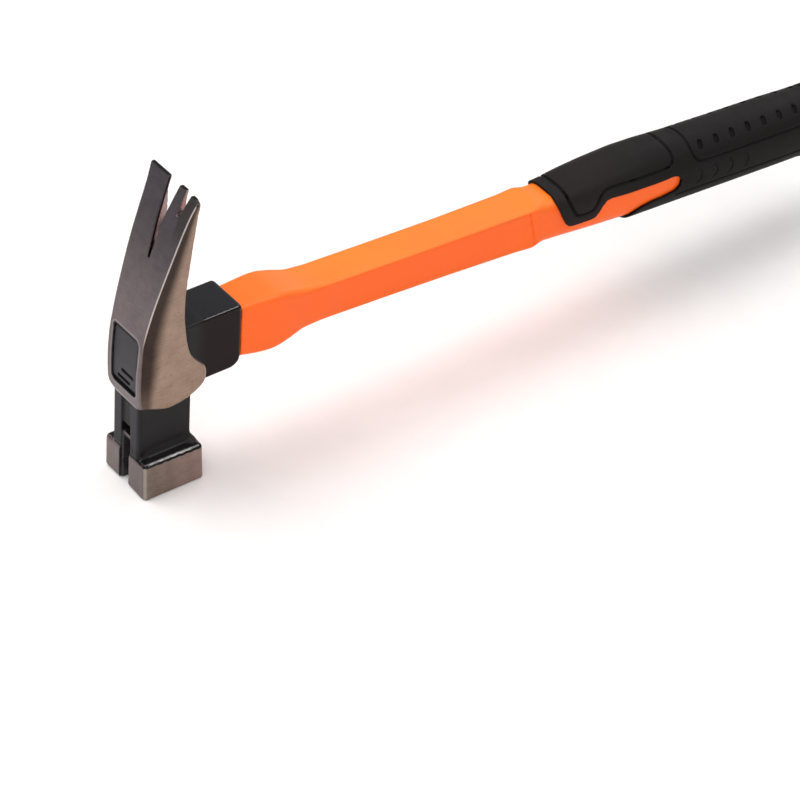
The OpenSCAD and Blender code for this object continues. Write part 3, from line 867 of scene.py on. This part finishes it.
def paint_color(head, painted_warm_reflection):
    normal, place = head.normal, head.place
    black = head.cloud.mix(rgb("#0b0b0d"), rgb("#121012"))
    # painted warm reflection
    black = painted_warm_reflection.mix(black, rgb("#160b0c", gain=1.1))
    # painted light: lighter tops of the socket block, then a lighter front of the neck
    above = place.x.ramp(start=0.010, end=0.016) * normal.z.ramp(start=0.5, end=0.85)
    black = above.mix(black, rgb("#1b1a1f"))
    ahead = normal.x.ramp(start=-0.5, end=-0.85) * place.z.ramp(start=0.018, end=0.021)
    black = ahead.mix(black, rgb("#1f1e24"))
    # painted shade in the nail groove, with painted light at its lower end
    from_groove = abs(place.y - GROOVE_Y * 0.001)
    groove = (from_groove.ramp(start=0.0026, end=0.0031, before=1.0, after=0.0)
              * place.z.ramp(start=0.040, end=0.0385))
    black = groove.mix(black, rgb("#09090b"))
    black = (groove * place.z.ramp(start=0.0235, end=0.0210)).mix(black, rgb("#302d2e"))
    # painted highlight along the black top edge of the face block
    painted_edge_highlight = (abs(head.paint - 1.15).ramp(start=0.12, end=0.42, before=1.0, after=0.0)
              * (place.z.ramp(start=0.0175, end=0.0165)
                 * place.y.ramp(start=-0.010, end=-0.0115)
                 * normal.y.ramp(start=-0.2, end=-0.45)))
    painted_edge_highlight = painted_edge_highlight * (place.x.ramp(start=0.009, end=0.006)
                       * head.mottle.ramp(start=0.3, end=0.6, before=0.35, after=0.65))
    return painted_edge_highlight.mix(black, rgb("#c9c6c3"))


def head_material():
    shader = Shader("ground_steel_and_black_paint")
    head = head_signals(shader)
    place, lines, mottle, cloud = head.place, head.lines, head.mottle, head.cloud
    steel = steel_color(shader, head)
    # the paint has small thin spots along its edges
    wear = mottle.ramp(start=0.60, end=0.68) * (
        abs(head.paint).ramp(start=0.1, end=0.9, before=1.0, after=0.0)
        * head.window.ramp(start=0.9, end=1.5))
    painted = head.paint.ramp(start=-0.05, end=0.07) * (1.0 - wear * 0.5)
    # painted warm reflection on the -Y side of the socket block
    painted_warm_reflection = place.x.ramp(start=0.010, end=0.016) * head.normal.y.ramp(start=-0.3, end=-0.8)
    shader.set("Base Color", painted.mix(steel, paint_color(head, painted_warm_reflection)))
    shader.set("Metallic", 1.0 - painted)

    steel_rough = (lines * 0.6 + mottle * 0.4).ramp(
        start=0.3, end=0.7, before=0.30, after=0.46, smooth=False)
    paint_rough = cloud.ramp(start=0.3, end=0.7, before=0.10, after=0.15, smooth=False)
    satin = place.z.ramp(start=0.0152, end=0.0166) * place.x.ramp(start=0.016, end=0.013)
    paint_rough = paint_rough + satin * 0.34
    shader.set("Roughness", painted.mix_value(steel_rough, paint_rough))
    shader.set("Specular IOR Level", (1.0 - painted_warm_reflection * 0.5) * 0.22)
    shader.set("Anisotropic", 0.35)

    steel_height = lines * 0.8 + head.pits * 0.25
    ripple = shader.noise(scale=420.0, detail=2.0, roughness=0.5)
    paint_height = ripple * 0.9 + cloud * 1.0
    relief = shader.bump(steel_height * (1.0 - painted), distance=0.000035, strength=0.55)
    relief = shader.bump(paint_height * painted, distance=0.00006, strength=0.35,
                         Normal=relief)
    shader.set("Normal", relief)
    return shader.material


# ---------------------------------------------------------------- plain materials
def plain(name, colors, roughness, grain=900.0, depth=0.00003, strength=0.4, specular=0.5,
          metallic=0.0, clouds=70.0, recolor=None):
    """Two colours and two roughnesses mixed by a fine grain and coarse clouds."""
    shader = Shader(name)
    fine = shader.noise(scale=grain, detail=3.0, roughness=0.55)
    coarse = shader.noise(scale=clouds, detail=3.0, roughness=0.55, shift=(0.1, 0.3, 0.2))
    blend = (fine * 0.4 + coarse * 0.6).ramp(start=0.35, end=0.65, smooth=False)
    color = blend.mix(rgb(colors[0]), rgb(colors[1]))
    if recolor:
        color = recolor(shader, color, coarse)
    shader.set("Base Color", color)
    shader.set("Roughness", blend.ramp(0.0, 1.0, *roughness, smooth=False))
    shader.set("Specular IOR Level", specular)
    shader.set("Metallic", metallic)
    shader.set("Normal", shader.bump(fine, distance=depth, strength=strength))
    return shader.material


def painted_plug_shade(shader, color, coarse):
    """Painted shade: darker towards +Y and towards the lower end."""
    place = shader.place()
    color = place.y.ramp(start=0.0025, end=0.0078, after=0.75).mix(color, rgb("#141215"))
    return place.z.ramp(start=0.0500, end=0.0482, after=0.72).mix(color, rgb("#19181b"))


def painted_orange_side_shade(shader, color, coarse):
    """Painted shade: redder on faces that don't point up, more so near the head."""
    normal = shader.normal()
    place = shader.place()
    lit_share = normal.z.ramp(start=0.2, end=0.85) * place.x.ramp(start=0.04, end=0.075, before=0.45)
    return lit_share.mix(coarse.mix(rgb("#ff620f"), rgb("#ff6813")), color)


def rubber_dust_and_line_shade(shader, color, coarse):
    """Dust specks, a lighter front end and painted shade in the carved lines."""
    dust = shader.noise(scale=1900.0, detail=2.0, roughness=0.6, shift=(0.5, 0.5, 0.5))
    color = (dust.ramp(start=0.62, end=0.74) * 0.28).mix(color, rgb("#34302e"))
    light = coarse.mix(rgb("#1c1617"), rgb("#231d1d"))
    color = shader.place().x.ramp(start=0.235, end=0.20).mix(color, light)
    # painted shade in the carved lines
    carved = shader.attribute("deep").ramp(start=0.08, end=0.40) * 0.95
    return carved.mix(color, rgb("#050404"))


def assign(name, material):
    materials = bpy.data.objects[name].data.materials
    materials.clear()
    materials.append(material)


def assign_cad(node, material):
    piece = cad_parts[node]
    if len(piece.material_slots) == 0:
        piece.data.materials.append(material)
    for slot in piece.material_slots:
        slot.material = material


assign("forged_head", head_material())
assign("window_plug", plain(
    "moulded_black_plug", ("#201d25", "#27242c"), roughness=(0.34, 0.46), grain=1500.0,
    depth=0.00002, strength=0.35, specular=0.24, recolor=painted_plug_shade))
assign("groove_magnet", plain(
    "plated_magnet", ("#8f8a86", "#a39d98"), roughness=(0.28, 0.4), grain=1800.0,
    depth=0.00002, strength=0.3, metallic=1.0))
assign("sheath", plain(
    "moulded_orange", ("#ff7516", "#ff7f1c"), roughness=(0.38, 0.48), grain=1400.0,
    depth=0.000025, strength=0.35, specular=0.28, clouds=40.0, recolor=painted_orange_side_shade))
assign("grip", plain(
    "black_rubber_grain", ("#110e0e", "#161312"), roughness=(0.52, 0.66), grain=1700.0,
    depth=0.00007, strength=0.7, specular=0.10, clouds=120.0, recolor=rubber_dust_and_line_shade))
assign_cad("fibreglass_core", plain(
    "glass_fibre_rod", ("#d9cf9a", "#c9bd84"), roughness=(0.35, 0.5), grain=1200.0))
assign_cad("bonding_resin", plain(
    "cured_resin", ("#3a3226", "#4a3f2f"), roughness=(0.2, 0.32), grain=700.0, strength=0.3))


# ---------------------------------------------------------------- floor and world, metres
def add_floor(half, z):
    mesh = bpy.data.meshes.new("floor")
    corners = [(-half, -half, z), (half, -half, z), (half, half, z), (-half, half, z)]
    mesh.from_pydata(corners, [], [(0, 1, 2, 3)])
    floor = bpy.data.objects.new("floor", mesh)
    bpy.context.scene.collection.objects.link(floor)
    mesh.materials.append(plain(
        "pale_floor", ("#f4f2f0", "#f7f5f3"), roughness=(0.75, 0.85), grain=30.0,
        depth=0.00001, strength=0.1, specular=0.2))


def sky(tree, height, low_color, high_color, high_at, strength):
    """Background that goes from one colour at the horizon to another at a height."""
    ramp = tree.nodes.new("ShaderNodeValToRGB")
    background = tree.nodes.new("ShaderNodeBackground")
    elements = ramp.color_ramp.elements
    elements[0].color = (*low_color, 1)
    elements[1].position = high_at
    elements[1].color = (*high_color, 1)
    tree.links.new(height, ramp.inputs[0])
    tree.links.new(ramp.outputs[0], background.inputs[0])
    background.inputs[1].default_value = strength
    return background.outputs[0]


def add_world():
    """One sky lights the scene, another is what the camera sees."""
    world = bpy.data.worlds.new("studio")
    bpy.context.scene.world = world
    world.use_nodes = True
    tree = world.node_tree
    tree.nodes.clear()
    output, coordinates, split, path, mix = [
        tree.nodes.new("ShaderNode" + kind)
        for kind in ("OutputWorld", "TexCoord", "SeparateXYZ", "LightPath", "MixShader")]
    tree.links.new(coordinates.outputs["Generated"], split.inputs[0])
    height = split.outputs[2]
    lighting = sky(tree, height, low_color=(0.62, 0.60, 0.60), high_color=(0.95, 0.95, 0.97),
                   high_at=1.0, strength=0.75)
    seen = sky(tree, height, low_color=(0.585, 0.575, 0.58), high_color=(0.90, 0.895, 0.89),
               high_at=0.30, strength=1.0)
    tree.links.new(path.outputs["Is Camera Ray"], mix.inputs[0])
    tree.links.new(lighting, mix.inputs[1])
    tree.links.new(seen, mix.inputs[2])
    tree.links.new(mix.outputs[0], output.inputs[0])


# ---------------------------------------------------------------- lights and camera, metres
def softbox(name, location, size, power, target=(0.12, 0.0, 0.05), color=(1, 1, 1)):
    light = bpy.data.lights.new(name, "AREA")
    light.shape = "RECTANGLE"
    light.size, light.size_y = size
    light.energy = power
    light.color = color
    lamp = bpy.data.objects.new(name, light)
    bpy.context.scene.collection.objects.link(lamp)
    lamp.location = location
    aim = Vector(target) - Vector(location)
    lamp.rotation_euler = aim.to_track_quat("-Z", "Y").to_euler()
    return lamp


def add_strip():
    """Narrow strip that only draws bright lines on polished and painted edges."""
    location, target = (0.78, -0.70, 1.20), (0, 0, 0.06)
    strip = softbox("strip", location, size=(0.16, 0.9), power=11.0, target=target)
    away = (Vector(location) - Vector(target)).normalized()
    long_side = Vector((0, 0.80, 0.60))
    long_side = (long_side - away * long_side.dot(away)).normalized()
    turn = Matrix((long_side.cross(away), long_side, away)).transposed()
    strip.rotation_euler = turn.to_euler()
    strip.visible_diffuse = False


def add_camera():
    data = bpy.data.cameras.new("camera")
    data.sensor_width = 36.0
    data.lens = 180.0225
    data.clip_start = 0.05
    data.clip_end = 50
    camera = bpy.data.objects.new("camera", data)
    bpy.context.scene.collection.objects.link(camera)
    right = Vector((0.800721, -0.596769, 0.052086))
    up = Vector((0.342197, 0.527042, 0.777900))
    back = Vector((-0.491678, -0.605057, 0.626226))
    matrix = Matrix((right, up, back)).transposed().to_4x4()
    matrix.translation = Vector((-0.65510, -0.94921, 0.96487))
    camera.matrix_world = matrix
    bpy.context.scene.camera = camera


add_floor(half=6.0, z=cad_bounds[0][2] - 0.0002)
add_world()
softbox("key", (-0.5, 0.5, 1.5), size=(1.1, 1.1), power=16.0)
softbox("fill", (-0.9, -1.3, 1.0), size=(1.2, 1.0), power=9.0, color=(1.0, 0.98, 0.96))
softbox("rim", (1.4, 0.6, 0.9), size=(1.0, 1.0), power=6.0)
add_strip()
add_camera()
bpy.context.scene.view_settings.view_transform = "Standard"
bpy.context.scene.view_settings.look = "None"
